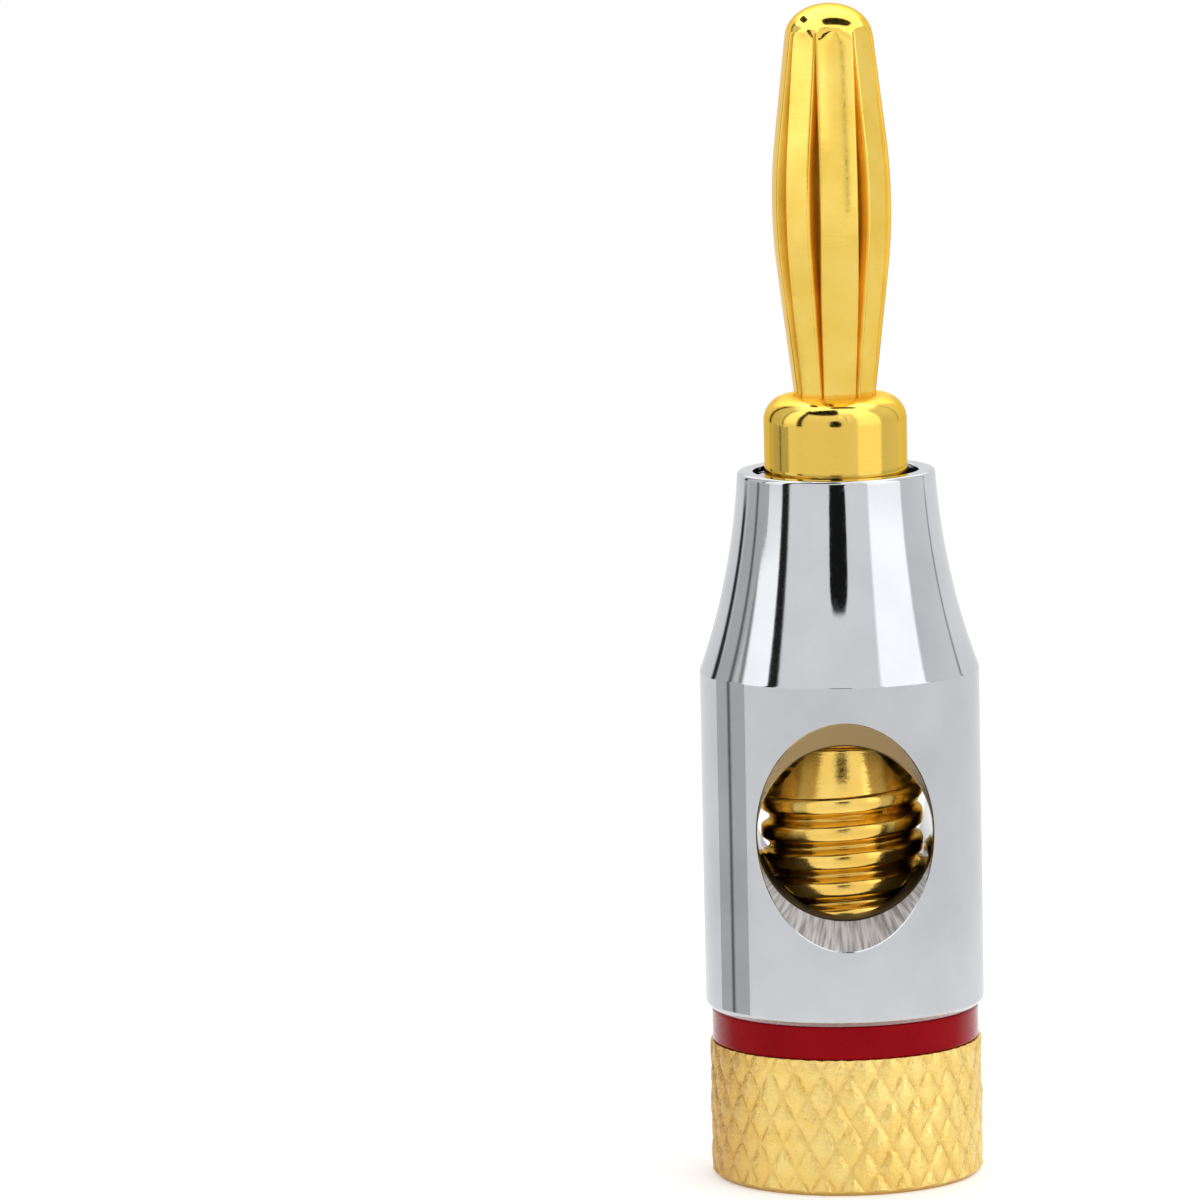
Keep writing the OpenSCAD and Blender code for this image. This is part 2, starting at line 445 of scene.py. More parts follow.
def make_plating_marks():
    """Group that gives cloudy tarnish, fine grain and turning lines over a piece."""
    group = bpy.data.node_groups.new("plating_marks", "ShaderNodeTree")
    for name, value in (("Cloud Scale", 0.3), ("Grain Scale", 8.0), ("Line Scale", 6.0)):
        socket = group.interface.new_socket(name, in_out="INPUT", socket_type="NodeSocketFloat")
        socket.default_value = value
    for name in ("Cloud", "Grain", "Lines"):
        group.interface.new_socket(name, in_out="OUTPUT", socket_type="NodeSocketFloat")
    entry = add_node(group, "NodeGroupInput")
    leaving = add_node(group, "NodeGroupOutput")
    place = place_mm(group)
    cloud = add_node(group, "ShaderNodeTexNoise")
    cloud.inputs["Detail"].default_value = 4
    group.links.new(place, cloud.inputs["Vector"])
    group.links.new(entry.outputs["Cloud Scale"], cloud.inputs["Scale"])
    grain = add_node(group, "ShaderNodeTexNoise")
    grain.inputs["Detail"].default_value = 3
    group.links.new(place, grain.inputs["Vector"])
    group.links.new(entry.outputs["Grain Scale"], grain.inputs["Scale"])
    flat = add_node(group, "ShaderNodeVectorMath", operation="MULTIPLY")
    flat.inputs[1].default_value = (0.06, 0.06, 1.0)
    group.links.new(place, flat.inputs[0])
    lines = add_node(group, "ShaderNodeTexNoise")
    lines.inputs["Detail"].default_value = 2
    group.links.new(flat.outputs["Vector"], lines.inputs["Vector"])
    group.links.new(entry.outputs["Line Scale"], lines.inputs["Scale"])
    group.links.new(cloud.outputs["Fac"], leaving.inputs["Cloud"])
    group.links.new(grain.outputs["Fac"], leaving.inputs["Grain"])
    group.links.new(lines.outputs["Fac"], leaving.inputs["Lines"])
    return group


def start_material(name, cloud_scale, grain_scale, line_scale):
    """A new material with its surface shader and its plating marks."""
    material = bpy.data.materials.new(name)
    material.use_nodes = True
    tree = material.node_tree
    surface = tree.nodes["Principled BSDF"]
    marks = add_node(tree, "ShaderNodeGroup", node_tree=plating_marks)
    marks.inputs["Cloud Scale"].default_value = cloud_scale
    marks.inputs["Grain Scale"].default_value = grain_scale
    marks.inputs["Line Scale"].default_value = line_scale
    return material, tree, surface, marks.outputs


def clouded(tree, marks, bright, deep):
    """A colour that drifts between two with the cloudy tarnish."""
    cloud = spread(tree, marks["Cloud"], 0.35, 0.7, 0, 1)
    return blend_colours(tree, cloud, bright, deep)


def grained(tree, marks, smooth, rough):
    """A roughness that varies between two with the fine grain."""
    return spread(tree, marks["Grain"], 0.3, 0.75, smooth, rough)


def raise_surface(tree, surface, height):
    """Feed a height in millimetres to the surface."""
    bump = add_node(tree, "ShaderNodeBump")
    bump.inputs["Strength"].default_value = 1.0
    bump.inputs["Distance"].default_value = MM
    feed(tree, bump.inputs["Height"], height)
    tree.links.new(bump.outputs["Normal"], surface.inputs["Normal"])


def make_chrome():
    material, tree, surface, marks = start_material("chrome", 0.35, 7.0, 5.0)
    bright = (0.625, 0.64, 0.66, 1)
    dull = (0.555, 0.57, 0.595, 1)
    # Painted shade: the brownish colour on the upper side of the countersink
    side_shade = (0.47, 0.36, 0.20, 1)
    deep_score = (0.31, 0.29, 0.285, 1)
    pale_score = (0.70, 0.675, 0.675, 1)
    hole_shade = (0.03, 0.026, 0.02, 1)
    tapped_depth = 0.12
    ring_depth = 0.0003
    scratch_depth = 0.009
    ripple_depth = 0.004
    x, y, z, radius = place_parts(tree)
    # Tapped thread inside the bore
    in_bore = calc(tree, "LESS_THAN", radius, BORE_R + 0.02)
    turned = calc(tree, "DIVIDE", calc(tree, "ARCTAN2", y, x), 2 * math.pi)
    advance = calc(tree, "SUBTRACT", calc(tree, "DIVIDE", z, THREAD_PITCH), turned)
    wave = calc(tree, "SINE", calc(tree, "MULTIPLY", advance, 2 * math.pi))
    thread = calc(tree, "MULTIPLY", calc(tree, "MULTIPLY", wave, in_bore), tapped_depth)
    # Countersink: painted shade, brownish and dull, above; scratched pale below; and painted shade,
    # near black, in the cut wall of the hole
    rise = calc(tree, "SUBTRACT", z, HOLE_Z)
    span = calc(tree, "ADD", calc(tree, "MULTIPLY", x, x), calc(tree, "MULTIPLY", rise, rise))
    out = calc(tree, "SQRT", span)
    spoke = add_node(tree, "ShaderNodeCombineXYZ")
    tree.links.new(calc(tree, "DIVIDE", x, out), spoke.inputs[0])
    tree.links.new(calc(tree, "DIVIDE", rise, out), spoke.inputs[1])
    tree.links.new(calc(tree, "MULTIPLY", out, 0.04), spoke.inputs[2])
    scratch = add_node(tree, "ShaderNodeTexNoise")
    scratch.inputs["Scale"].default_value = 26
    scratch.inputs["Detail"].default_value = 4
    tree.links.new(spoke.outputs["Vector"], scratch.inputs["Vector"])
    below_skin = calc(tree, "LESS_THAN", radius, BARREL_R - 0.05)
    past_bore = calc(tree, "GREATER_THAN", radius, BORE_R + 0.02)
    near_hole = calc(tree, "LESS_THAN", out, SINK_R + 0.4)
    in_sink = calc(tree, "MULTIPLY", calc(tree, "MULTIPLY", below_skin, past_bore), near_hole)
    upper_side = calc(tree, "MULTIPLY", in_sink, spread(tree, rise, 0.5, 3.0, 0, 1))
    lower_side = calc(tree, "MULTIPLY", in_sink, spread(tree, rise, -2.2, -0.8, 1, 0))
    in_wall = calc(tree, "MULTIPLY", in_sink, calc(tree, "LESS_THAN", out, HOLE_R + 0.06))
    low_wall = spread(tree, rise, -0.9, 0.3, 1, 0)
    high_wall = spread(tree, rise, 2.2, 2.7, 0, 1)
    shaded = calc(tree, "MULTIPLY", in_wall, calc(tree, "MAXIMUM", low_wall, high_wall))
    plated = clouded(tree, marks, bright, dull)
    above = blend_colours(tree, upper_side, plated, side_shade)
    scored = spread(tree, scratch.outputs["Fac"], 0.38, 0.62, 0, 1)
    cut_face = blend_colours(tree, scored, deep_score, pale_score)
    below = blend_colours(tree, lower_side, above, cut_face)
    feed(tree, surface.inputs["Base Color"], blend_colours(tree, shaded, below, hole_shade))
    # The painted-shade upper side and the scratched lower side are less metallic and rougher
    shaded_above = calc(tree, "MULTIPLY", upper_side, 0.6)
    wear_and_shade = calc(tree, "ADD", shaded_above, calc(tree, "MULTIPLY", lower_side, 0.7))
    feed(tree, surface.inputs["Metallic"], calc(tree, "SUBTRACT", 1.0, wear_and_shade))
    shine = grained(tree, marks, 0.03, 0.085)
    scuffed = calc(tree, "MULTIPLY", wear_and_shade, 0.5)
    feed(tree, surface.inputs["Roughness"], calc(tree, "ADD", shine, scuffed))
    ring_wave = calc(tree, "SINE", calc(tree, "MULTIPLY", out, 34.0))
    rings = calc(tree, "MULTIPLY", calc(tree, "MULTIPLY", ring_wave, in_sink), ring_depth)
    scratched = calc(tree, "MULTIPLY", scratch.outputs["Fac"], in_sink)
    sunk = calc(tree, "ADD", rings, calc(tree, "MULTIPLY", scratched, scratch_depth))
    ripple = calc(tree, "MULTIPLY", marks["Cloud"], ripple_depth)
    raise_surface(tree, surface, calc(tree, "ADD", calc(tree, "ADD", thread, sunk), ripple))
    return material


# Colour of gold plating seen along its surface
GOLD_EDGE = (1.0, 0.80, 0.42, 1)


def make_polished_gold():
    material, tree, surface, marks = start_material("polished_gold", 0.6, 9.0, 7.0)
    surface.inputs["Metallic"].default_value = 1.0
    bright = (0.97, 0.70, 0.16, 1)
    deep = (0.90, 0.60, 0.10, 1)
    browner = (0.78, 0.53, 0.10, 1)
    plated = clouded(tree, marks, bright, deep)
    # The collar is a little browner than the leaves, and its crown is left as turned.
    z = place_parts(tree)[2]
    under_top = calc(tree, "SUBTRACT", COLLAR_Z, z)
    on_collar = spread(tree, under_top, 0.3, 0.8, 0, 1, smooth=True)
    feed(tree, surface.inputs["Base Color"], blend_colours(tree, on_collar, plated, browner))
    crown = spread(tree, calc(tree, "ABSOLUTE", under_top), 0.03, 0.16, 0.3, 0, smooth=True)
    shine = grained(tree, marks, 0.07, 0.16)
    feed(tree, surface.inputs["Roughness"], calc(tree, "ADD", shine, crown))
    surface.inputs["Specular Tint"].default_value = GOLD_EDGE
    raise_surface(tree, surface, calc(tree, "MULTIPLY", marks["Lines"], 0.002))
    return material


def make_turned_gold():
    """Plating on the cut thread, less bright than the drawn and polished pieces."""
    material, tree, surface, marks = start_material("turned_gold", 0.6, 12.0, 9.0)
    surface.inputs["Metallic"].default_value = 1.0
    bright = (0.98, 0.68, 0.18, 1)
    deep = (0.90, 0.57, 0.11, 1)
    shade_colour = (0.56, 0.34, 0.07, 1)
    plated = clouded(tree, marks, bright, deep)
    z, radius = place_parts(tree)[2:]
    # Painted shade in the roots of the thread
    groove = spread(tree, radius, THREAD_ROOT_R + 0.03, THREAD_R - 0.06, 0.7, 0)
    cut = calc(tree, "MULTIPLY", groove, calc(tree, "LESS_THAN", z, THREAD_END - 0.3))
    feed(tree, surface.inputs["Base Color"], blend_colours(tree, cut, plated, shade_colour))
    feed(tree, surface.inputs["Roughness"], grained(tree, marks, 0.12, 0.26))
    surface.inputs["Specular Tint"].default_value = GOLD_EDGE
    wear_and_shade = calc(tree, "MULTIPLY", marks["Grain"], 0.003)
    lines = calc(tree, "MULTIPLY", marks["Lines"], 0.006)
    raise_surface(tree, surface, calc(tree, "ADD", wear_and_shade, lines))
    return material


def make_shaded_gold():
    """Dull, darker gold on the inside of the leaves and along their cut sides; the darker colour is
    painted shade.
    """
    material, tree, surface, marks = start_material("shaded_gold", 0.6, 6.0, 5.0)
    surface.inputs["Metallic"].default_value = 1.0
    bright = (0.93, 0.57, 0.08, 1)
    deep = (0.80, 0.46, 0.05, 1)
    feed(tree, surface.inputs["Base Color"], clouded(tree, marks, bright, deep))
    feed(tree, surface.inputs["Roughness"], grained(tree, marks, 0.35, 0.5))
    raise_surface(tree, surface, calc(tree, "MULTIPLY", marks["Grain"], 0.004))
    return material


def make_satin_gold():
    material, tree, surface, marks = start_material("satin_gold", 1.2, 7.0, 4.0)
    surface.inputs["Metallic"].default_value = 1.0
    bright = (0.95, 0.72, 0.25, 1)
    deep = (0.91, 0.63, 0.175, 1)
    shade_colour = (0.58, 0.32, 0.06, 1)
    shadow_brown = (0.62, 0.35, 0.095, 1)
    plated = clouded(tree, marks, bright, deep)
    x, _, z, radius = place_parts(tree)
    # Painted shade in the knurl grooves and a painted shadow along the foot of the head
    groove = spread(tree, radius, HEAD_R - 0.16, HEAD_R - 0.05, 0.36, 0, smooth=True)
    foot_shade = spread(tree, z, 0.03, 0.22, 0.75, 0)
    wear_and_shade = calc(tree, "MAXIMUM", groove, foot_shade)
    # Painted shadow over the left side of the head
    left_shadow = spread(tree, x, -HEAD_R, -HEAD_R / 2, 0.85, 0, smooth=True)
    side_shade = blend_colours(tree, left_shadow, plated, shadow_brown)
    feed(tree, surface.inputs["Base Color"], blend_colours(tree, wear_and_shade, side_shade, shade_colour))
    feed(tree, surface.inputs["Roughness"], grained(tree, marks, 0.24, 0.42))
    pitted = calc(tree, "MULTIPLY", marks["Grain"], 0.05)
    mottled = calc(tree, "MULTIPLY", marks["Cloud"], 0.04)
    raise_surface(tree, surface, calc(tree, "ADD", pitted, mottled))
    return material


def make_red_plastic():
    material, tree, surface, marks = start_material("red_plastic", 0.5, 6.0, 3.0)
    surface.inputs["Specular IOR Level"].default_value = 0.05
    facing = add_node(tree, "ShaderNodeLayerWeight")
    facing.inputs["Blend"].default_value = 0.5
    edge_shine = spread(tree, facing.outputs["Facing"], 0.45, 0.9, 0, 1)
    feed(tree, surface.inputs["Coat Weight"], edge_shine)
    surface.inputs["Coat Roughness"].default_value = 0.15
    bright = (0.32, 0.003, 0.007, 1)
    deep = (0.28, 0.002, 0.006, 1)
    feed(tree, surface.inputs["Base Color"], clouded(tree, marks, bright, deep))
    feed(tree, surface.inputs["Roughness"], grained(tree, marks, 0.24, 0.36))
    raise_surface(tree, surface, calc(tree, "MULTIPLY", marks["Grain"], 0.002))
    return material


# Knurled head


def knurl_level(place):
    """How many cells a point of the diamond lies in from its nearest side."""
    across = math.atan2(place.x, -place.y) / (math.pi / KNURL_COUNT)
    up = place.z / KNURL_HALF_H
    rising = (1 + across + up) / 2 * KNURL_CELLS
    falling = (1 + across - up) / 2 * KNURL_CELLS
    return round(min(rising, KNURL_CELLS - rising, falling, KNURL_CELLS - falling))


def model_knurled_head():
    """One diamond is shaped, copied round and up the head, and trimmed to its outline."""
    bpy.ops.object.select_all(action="DESELECT")
    bpy.ops.mesh.primitive_plane_add(size=math.sqrt(2))
    head = bpy.context.object
    head.name = "knurled_head"
    head.data.name = "knurled_head"
    edit(head)
    bpy.ops.transform.rotate(value=math.pi / 4, orient_axis="Z", center_override=(0, 0, 0))
    bpy.ops.transform.rotate(value=math.pi / 2, orient_axis="X", center_override=(0, 0, 0))
    bpy.ops.transform.resize(value=(KNURL_HALF_W, 1, KNURL_HALF_H), center_override=(0, 0, 0))
    bpy.ops.transform.translate(value=(0, -HEAD_R, 0))
    bpy.ops.mesh.subdivide(number_cuts=KNURL_CELLS - 1)
    leave()
    use_modifier(head, "CAST", cast_type="CYLINDER", factor=1, use_radius_as_size=False,
                 size=HEAD_R, radius=0)
    edit(head)
    for level, drop in enumerate(KNURL_DROPS):
        select_where(head, lambda place: knurl_level(place) == level)
        scale_round_axis((HEAD_R - drop) / HEAD_R)
    bpy.ops.mesh.select_all(action="SELECT")
    round_angle = 2 * math.pi * (KNURL_COUNT - 1) / KNURL_COUNT
    bpy.ops.mesh.spin(steps=KNURL_COUNT - 1, dupli=True, angle=round_angle, center=(0, 0, 0),
                      axis=(0, 0, 1))
    bpy.ops.mesh.select_all(action="SELECT")
    for _ in range(math.ceil(HEAD_TOP / KNURL_HALF_H) + 1):
        bpy.ops.mesh.duplicate_move(TRANSFORM_OT_translate={"value": (0, 0, KNURL_HALF_H)})
        turn_selected(math.pi / KNURL_COUNT)
    weld(0.004)
    bpy.ops.transform.vertex_random(offset=KNURL_WANDER, seed=4)
    leave()
    dents = bpy.data.textures.new("knurl_dents", "CLOUDS")
    dents.noise_scale = KNURL_DENT_SIZE
    use_modifier(head, "DISPLACE", texture=dents, strength=KNURL_DENTS, mid_level=0.8)
    edit(head)
    bpy.ops.mesh.bisect(plane_co=(0, 0, -0.1), plane_no=(0, 0, 1), clear_inner=True, use_fill=True)
    bpy.ops.mesh.select_all(action="SELECT")
    bpy.ops.mesh.bisect(plane_co=(0, 0, HEAD_TOP + 0.1), plane_no=(0, 0, 1), clear_outer=True,
                        use_fill=True)
    bpy.ops.mesh.select_all(action="SELECT")
    bpy.ops.mesh.normals_make_consistent(inside=False)
    leave()
    outline = rounded([
        (CABLE_R, MOUTH_R - CABLE_R, 0.05),
        (MOUTH_R, 0, 0.06),
        (HEAD_R - HEAD_CHAMFER, 0, 0.04),
        (HEAD_R + 0.1, HEAD_CHAMFER + 0.1, 0),
        (HEAD_R + 0.1, HEAD_TOP - HEAD_FRONT_CHAMFER - 0.1, 0),
        (HEAD_R - HEAD_FRONT_CHAMFER, HEAD_TOP, 0),
        (CABLE_R, HEAD_TOP, 0),
    ], closed=True)
    combine(head, lathe("head_outline", outline, HEAD_STEPS), "INTERSECT")
    return head


# Threaded stem


def model_threaded_stem():
    """A thread is swept up the stem, trimmed, given its smooth nose and drilled through."""
    depth = THREAD_R - THREAD_ROOT_R
    flank = (
        (0, 0), (0.03, 0.05), (0.16, 0.1), (0.5, 0.17), (0.84, 0.24), (0.95, 0.29), (1, 0.37),
        (1, 0.63), (0.95, 0.71), (0.84, 0.76), (0.5, 0.83), (0.16, 0.9), (0.03, 0.95), (0, 1),
    )
    points = []
    for share, rise in flank:
        points.append((THREAD_ROOT_R + depth * share, THREAD_START + rise * THREAD_PITCH))
    stem = draw_chain("threaded_stem", points)
    leave()
    use_modifier(stem, "SCREW", axis="Z", angle=2 * math.pi, screw_offset=THREAD_PITCH,
                 iterations=THREAD_TURNS, steps=THREAD_STEPS, render_steps=THREAD_STEPS)
    edit(stem)
    weld(0.002)
    bpy.ops.mesh.bisect(plane_co=(0, 0, HEAD_TOP), plane_no=(0, 0, 1), clear_inner=True,
                        use_fill=True)
    bpy.ops.mesh.select_all(action="SELECT")
    tilt = (-math.sin(THREAD_END_TILT), 0, math.cos(THREAD_END_TILT))
    bpy.ops.mesh.bisect(plane_co=(0, 0, THREAD_END), plane_no=tilt, clear_outer=True, use_fill=True)
    bpy.ops.mesh.select_all(action="SELECT")
    bpy.ops.mesh.normals_make_consistent(inside=False)
    leave()
    nose = [
        (0, NOSE_Z - 0.9, 0),
        (THREAD_ROOT_R - 0.1, NOSE_Z - 0.9, 0),
        (NOSE_R, NOSE_Z - 0.3, 0.05),
        (NOSE_R, NOSE_Z, 0),
    ]
    for place in bowed((NOSE_R, NOSE_Z), (TIP_R, TIP_Z), NOSE_BOW, TIP_ROWS):
        nose.append((place.x, place.y, 0))
    nose.extend([(TIP_R, TIP_Z, 0.12), (0, TIP_Z, 0)])
    combine(stem, lathe("stem_nose", rounded(nose, closed=False), NOSE_STEPS), "UNION")
    drill = [(0, 0), (CABLE_R, 0), (CABLE_R, TIP_Z + 1), (0, TIP_Z + 1)]
    combine(stem, lathe("cable_drill", drill, DRILL_STEPS), "DIFFERENCE")
    return stem


# Colour ring


def model_colour_ring():
    outline = rounded([
        (RING_BORE_R, ring_low[2], 0.08),
        (RING_R, ring_low[2], RING_ROUND),
        (RING_R, ring_high[2], RING_ROUND),
        (RING_BORE_R, ring_high[2], 0.08),
    ], closed=True, steps=6)
    return lathe("colour_ring_moulding", outline, RING_STEPS)


# Barrel


def model_barrel():
    """The barrel is turned with its flare, and the countersunk wire hole is cut through it."""
    corners = [
        (BORE_R, BARREL_Z + BORE_LEAD, 0.05),
        (BORE_R + BORE_LEAD, BARREL_Z, 0.05),
        (BARREL_R - TAIL_CHAMFER, BARREL_Z, 0.06),
        (BARREL_R, BARREL_Z + TAIL_CHAMFER, 0.15),
    ]
    for z in levels(BARREL_Z + TAIL_CHAMFER + 0.15, EDGE_Z - 0.15, SIDE_ROWS):
        corners.append((BARREL_R, z, 0))
    corners.append((BARREL_R, EDGE_Z, EDGE_ROUND))
    for place in bowed((BARREL_R, EDGE_Z), (RIM_R, RIM_Z), FLARE_BOW, FLARE_ROWS):
        corners.append((place.x, place.y, 0))
    corners.extend([
        (RIM_R, RIM_Z, RIM_ROUND),
        (BORE_R, RIM_Z, 0.06),
    ])
    for z in levels(RIM_Z - 0.2, BARREL_Z + BORE_LEAD + 0.2, BORE_ROWS):
        corners.append((BORE_R, z, 0))
    barrel = lathe("flared_barrel", rounded(corners, closed=True), BARREL_STEPS)
    slope = math.tan(SINK_HALF)
    edge = BARREL_R - (SINK_R - HOLE_R) / slope
    far = BARREL_R + 1
    wide = HOLE_R + (far - edge) * slope
    outline = rounded([
        (0, -far, 0), (wide, -far, 0), (HOLE_R, -edge, 0.12),
        (HOLE_R, edge, 0.12), (wide, far, 0), (0, far, 0),
    ], closed=False)
    cutter = lathe("wire_hole_cutter", outline, HOLE_STEPS)
    edit(cutter)
    bpy.ops.transform.rotate(value=math.pi / 2, orient_axis="X", center_override=(0, 0, 0))
    bpy.ops.transform.translate(value=(0, 0, HOLE_Z))
    leave()
    combine(barrel, cutter, "DIFFERENCE")
    return barrel


# Contact body


def model_contact_body():
    collar_edge = min(COLLAR_ROUND, COLLAR_R - SOCKET_R - 0.1)
    outline = rounded([
        (0, SEAT_Z, 0),
        (PLUG_R, SEAT_Z, 0.2),
        (PLUG_R, SHOULDER_Z, 0.1),
        (COLLAR_R, SHOULDER_Z, 0.05),
        (COLLAR_R, COLLAR_Z, collar_edge),
        (COLLAR_R - collar_edge - 0.08, COLLAR_Z, 0.02),
        (LIP_R, COLLAR_Z - DISH_DEPTH, 0.02),
        (LIP_R, COLLAR_Z - 0.2, 0),
        (SOCKET_R, COLLAR_Z - 0.3, 0),
        (SOCKET_R, SOCKET_Z, 0),
        (0, SOCKET_Z, 0),
    ], closed=False, steps=10)
    return lathe("collar_contact", outline, CONTACT_STEPS)


# Leaf spring cage


def leaf_outline_r(z):
    """Radius of the cage over the middle of a leaf at a height."""
    bend_centre = Vector((BULGE_R - BULGE_BEND, BULGE_Z))

    def bend_start(place, side):
        arm = Vector(place) - bend_centre
        angle = math.atan2(arm.y, arm.x) + side * math.acos(BULGE_BEND / arm.length)
        return bend_centre + BULGE_BEND * Vector((math.cos(angle), math.sin(angle)))

    low = bend_start((ROOT_R, COLLAR_Z), 1)
    high = bend_start((CAGE_NOSE_R, CAGE_NOSE_Z), -1)
    if z < COLLAR_Z:
        return ROOT_R
    if z < low.y:
        return ROOT_R + (low.x - ROOT_R) * (z - COLLAR_Z) / (low.y - COLLAR_Z)
    if z < high.y:
        return bend_centre.x + math.sqrt(BULGE_BEND ** 2 - (z - BULGE_Z) ** 2)
    if z < CAGE_NOSE_Z:
        return high.x + (CAGE_NOSE_R - high.x) * (z - high.y) / (CAGE_NOSE_Z - high.y)
    return CAGE_NOSE_R * math.sqrt(1 - ((z - CAGE_NOSE_Z) / CAGE_NOSE_H) ** 2)


def leaf_width(z, narrow):
    """Width of a leaf at a height as a share of its width in the root."""
    share = min(1, max(0, (z - SLOT_LOW_Z) / (LEAF_WIDEST_Z - SLOT_LOW_Z)))
    return narrow + (LEAF_WIDEST - narrow) * share * share * (3 - 2 * share)


def nose_share(z):
    """How far a leaf has gone over from its flat to the round of the nose."""
    share = (z - SLOT_HIGH_Z + LEAF_ROUNDS_OVER) / LEAF_ROUNDS_OVER
    return min(1, max(0, share)) ** 2


def scale_from(point, factors):
    bpy.ops.transform.resize(value=factors, center_override=point)


NOSE_START = math.asin((SLOT_HIGH_Z - CAGE_NOSE_Z) / CAGE_NOSE_H)
NOSE_ROWS = []
for angle in levels(NOSE_START, math.pi / 2, DOME_ROWS):
    NOSE_ROWS.append(CAGE_NOSE_Z + CAGE_NOSE_H * math.sin(angle))


def model_leaf(name, half, columns, azimuth):
    """One leaf with its share of the root and the nose, copied to its four places."""
    leaf = start_chain(name, (ROOT_R * math.cos(half), ROOT_R * math.sin(half), SOCKET_Z))
    bpy.ops.mesh.spin(steps=columns, angle=2 * half, center=(0, 0, 0), axis=(0, 0, 1))
    bpy.ops.mesh.select_all(action="SELECT")
    narrow = 1 - SLOT_KERF / (2 * ROOT_R * math.sin(half))
    extrude_by((0, 0, SLOT_LOW_Z - SOCKET_Z))
    last_z = SLOT_LOW_Z
    last_x = ROOT_R
    last_width = 1
    last_flat = 1
    sagitta = ROOT_R * (1 - math.cos(half))
    heights = [SLOT_LOW_Z + 0.1] + levels(SLOT_LOW_Z + 0.1, SLOT_HIGH_Z - 0.1, LEAF_ROWS)
    heights.append(SLOT_HIGH_Z - 0.1)
    for z in heights:
        x = leaf_outline_r(z) - LEAF_SETBACK * (1 - nose_share(z))
        flat = LEAF_FLATNESS + (1 - LEAF_FLATNESS) * nose_share(z)
        room = (x - flat * sagitta) * math.tan(half) - LEAF_CLEAR
        width = min(leaf_width(z, narrow), room / (ROOT_R * math.sin(half)))
        extrude_by((x - last_x, 0, z - last_z))
        scale_from((0, 0, 0), (1, width / last_width, 1))
        scale_from((x, 0, 0), (flat / last_flat, 1, 1))
        last_z = z
        last_x = x
        last_width = width
        last_flat = flat
    # The leaf closes into the nose, which all leaves share.
    extrude_by((ROOT_R - last_x, 0, SLOT_HIGH_Z - last_z))
    scale_from((0, 0, 0), (1, 1 / last_width, 1))
    scale_from((ROOT_R, 0, 0), (1 / last_flat, 1, 1))
    scale_round_axis(leaf_outline_r(SLOT_HIGH_Z) / ROOT_R)
    last_z = SLOT_HIGH_Z
    last_r = leaf_outline_r(SLOT_HIGH_Z)
    for z in NOSE_ROWS:
        r = leaf_outline_r(z)
        extrude_by((0, 0, z - last_z))
        scale_round_axis(r / last_r)
        last_z = z
        last_r = r
    bpy.ops.mesh.select_all(action="SELECT")
    turn_selected(azimuth)
    steps = LEAF_PAIRS - 1
    bpy.ops.mesh.spin(steps=steps, dupli=True, angle=steps * PAIR_ANGLE, center=(0, 0, 0),
                      axis=(0, 0, 1))
    leave()
    return leaf


def is_leaf_edge(side):
    """Whether an edge runs along the outer side of a leaf, clear of the ends of its slots."""
    for vert in side.verts:
        z = vert.co.z
        outside = vert.co.xy.length > leaf_outline_r(z) - LEAF_WALL / 2
        if not outside or z < SLOT_LOW_Z + 0.05 or z > SLOT_HIGH_Z - 0.05:
            return False
    return True


def model_spring_cage():
    """Wide and narrow leaves are welded at root and nose, and given their wall."""
    front = LEAF_TURN - math.pi / 2
    cage = model_leaf("leaf_cage", WIDE_HALF, WIDE_COLUMNS, front)
    narrow = model_leaf("narrow_leaves", NARROW_HALF, NARROW_COLUMNS, front + PAIR_ANGLE / 2)
    only(cage)
    narrow.select_set(True)
    bpy.ops.object.join()
    edit(cage)
    weld(0.003)
    select_where(cage, lambda place: place.z > NOSE_ROWS[-1] - 0.001)
    extrude_by((0, 0, cage_high[2] - NOSE_ROWS[-1]))
    bpy.ops.mesh.merge(type="CENTER")
    weld(0.003)
    leave()
    cage.data.materials.append(polished_gold)
    cage.data.materials.append(shaded_gold)
    use_modifier(cage, "SOLIDIFY", thickness=LEAF_WALL, offset=-1, use_even_offset=True,
                 material_offset=1, material_offset_rim=1)
    edit(cage)
    bpy.ops.mesh.select_mode(type="EDGE")
    bpy.ops.mesh.select_all(action="DESELECT")
    bpy.ops.mesh.edges_select_sharp(sharpness=math.radians(50))
    mesh = bmesh.from_edit_mesh(cage.data)
    for side in mesh.edges:
        side.select_set(side.select and is_leaf_edge(side))
    bmesh.update_edit_mesh(cage.data)
    bpy.ops.mesh.bevel(offset=LEAF_EDGE, segments=4, affect="EDGES", clamp_overlap=False)
    bpy.ops.mesh.select_all(action="SELECT")
    bpy.ops.mesh.dissolve_degenerate(threshold=SLIVER)
    leave()
    return cage


# Studio: the floor, the brightness of walls and ceiling, and the cards
FLOOR_R = 150
FLOOR_TINT = 0.81
FLOOR_SHOWN = 0.33
FLOOR_MIRRORED_NEAR = 0.22
FLOOR_MIRRORED_FAR = 0.01
WALL_BASE_LEVEL = 0.92
CEILING_LEVEL = 1.5
DARK_LEVEL = 0.01
# Cards that only the metal sees: beside the barrel, in front of the pin and over its nose
SIDE_CARD_BEARING = math.radians(-97.4)
PIN_CARD_BEARING = math.radians(13.9)
PIN_CARD_LEVEL = 0.98
PIN_CARD_CREASE = 1.1
TOP_CARD_SIZE = (28, 15.4, 1)
TOP_CARD_PLACE = (2, 0, 48.5)
TOP_CARD_SLANT = -0.12


